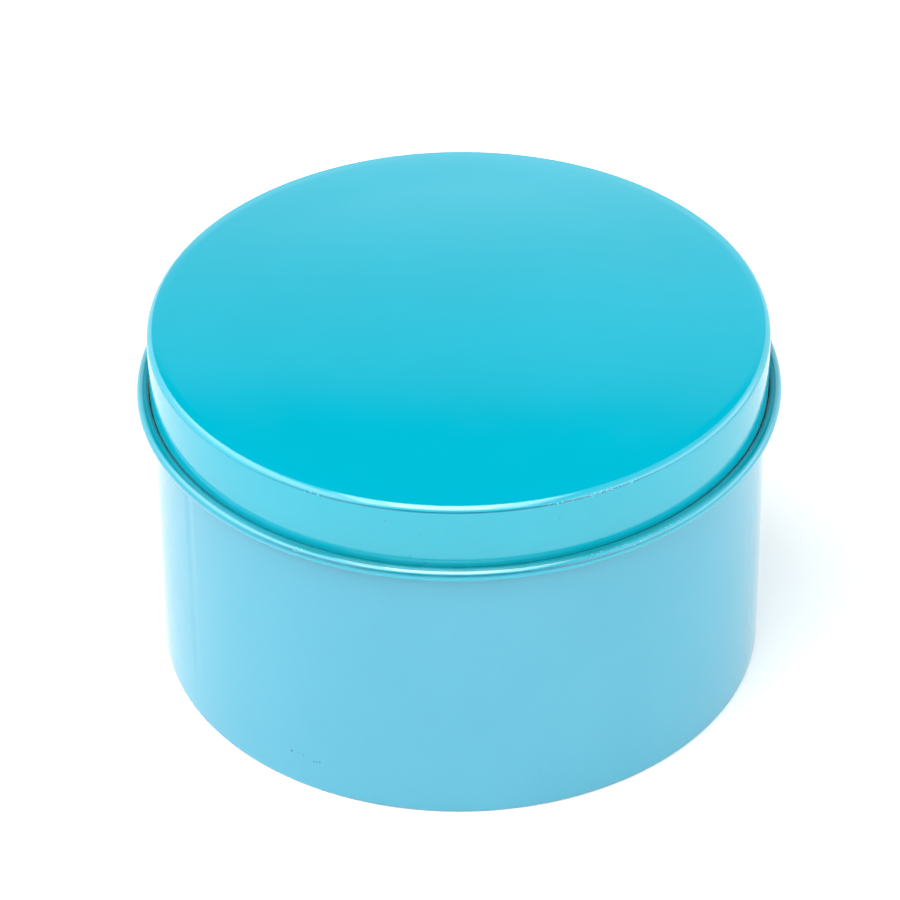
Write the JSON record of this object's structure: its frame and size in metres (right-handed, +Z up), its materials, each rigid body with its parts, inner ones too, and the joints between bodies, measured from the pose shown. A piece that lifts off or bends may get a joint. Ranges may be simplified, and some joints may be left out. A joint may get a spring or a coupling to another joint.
{
  "type": "cookie tin",
  "caption": "Round painted tinplate cookie tin with a slip-on lid: a lap-seamed straight wall curled in at the top, a recessed hooked-in bottom, and a drawn lid with a rolled rim.",
  "frame": {"origin": "middle of the ring that the tin stands on", "axes": "+Z up through the lid, -Y towards the front, +X to the right of the front"},
  "size_m": [0.1892, 0.1892, 0.1115],
  "materials": {
    "body_enamel": "gloss baked enamel",
    "lid_enamel": "gloss baked enamel",
    "bare_tinplate": "bright tinplate, clear lacquered"
  },
  "bodies": {
    "tin": {"body_wall": "body_enamel", "bottom_end": "bare_tinplate"},
    "lid": {"lid": "lid_enamel"}
  },
  "joints": [
    {"name": "lid_lift", "type": "slide", "parent": "tin", "child": "lid", "axis": [0, 0, 1], "range_m": [0, 0.15]}
  ]
}
